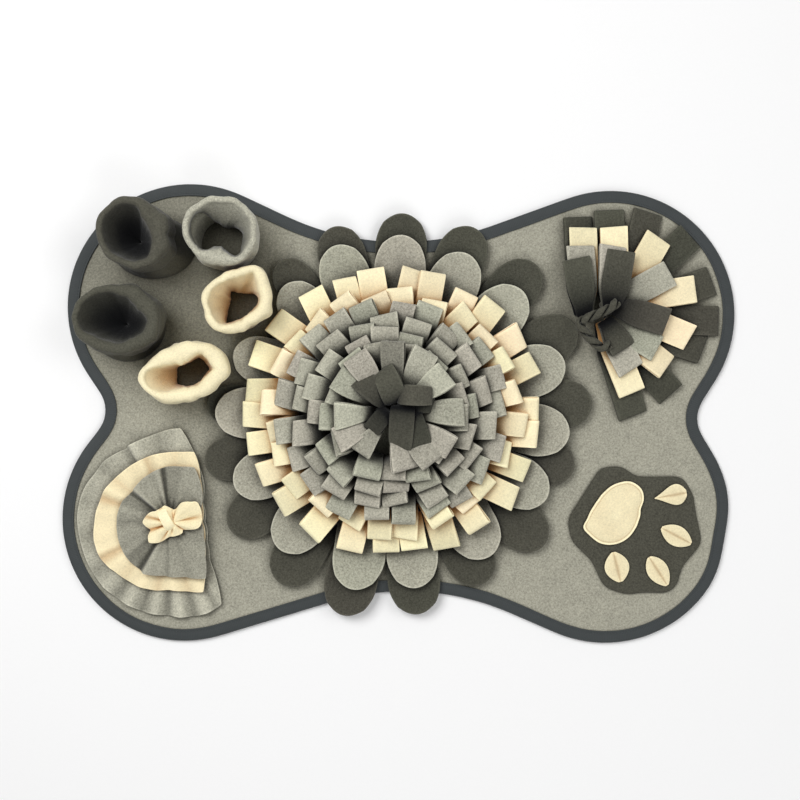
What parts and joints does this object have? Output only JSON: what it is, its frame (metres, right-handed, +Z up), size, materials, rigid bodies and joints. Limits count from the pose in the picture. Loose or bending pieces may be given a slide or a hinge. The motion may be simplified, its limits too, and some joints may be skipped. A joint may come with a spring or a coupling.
{
  "type": "snuffle mat",
  "caption": "Bone-shaped fleece snuffle mat with a looped rosette, standing tube pockets, a gathered fan pocket, a half tuft and a paw patch.",
  "frame": {"origin": "middle of the mat's bound outline, on the surface that the mat lies on", "axes": "+X along the mat's length, from the tube pockets and the fan pocket towards the half tuft and the paw patch; +Y across it, towards the tube pockets and the half tuft; +Z up"},
  "size_m": [0.6492, 0.4431, 0.0696],
  "materials": {
    "ground_grey": "brushed fleece, mottled mid grey",
    "binding_slate": "woven binding tape, slate",
    "light_grey": "brushed fleece, light grey",
    "charcoal": "brushed fleece, charcoal",
    "cream": "brushed fleece, cream"
  },
  "bodies": {
    "root": {"mat_panel": "ground_grey", "edge_binding": "binding_slate", "petals_dark": "charcoal", "petals_light": "light_grey", "loops_cream_outer": "cream", "loops_cream_inner": "cream", "loops_grey_outer": "light_grey", "loops_grey_second": "light_grey", "loops_grey_third": "light_grey", "loops_grey_fourth": "light_grey", "loops_grey_inner": "light_grey", "loops_dark_centre": "charcoal", "tuft_dark_outer": "charcoal", "tuft_cream": "cream", "tuft_light": "light_grey", "tuft_dark_inner": "charcoal", "tuft_tie": "charcoal", "flap_outer": "light_grey", "flap_cream": "cream", "flap_inner": "light_grey", "flap_bow": "cream", "tube_dark_back": "charcoal", "tube_grey": "light_grey", "tube_dark_side": "charcoal", "tube_cream_back": "cream", "tube_cream_front": "cream", "paw_patch": "charcoal", "paw_pad": "cream", "paw_toe_first": "cream", "paw_toe_second": "cream", "paw_toe_third": "cream", "paw_toe_fourth": "cream"}
  },
  "joints": []
}
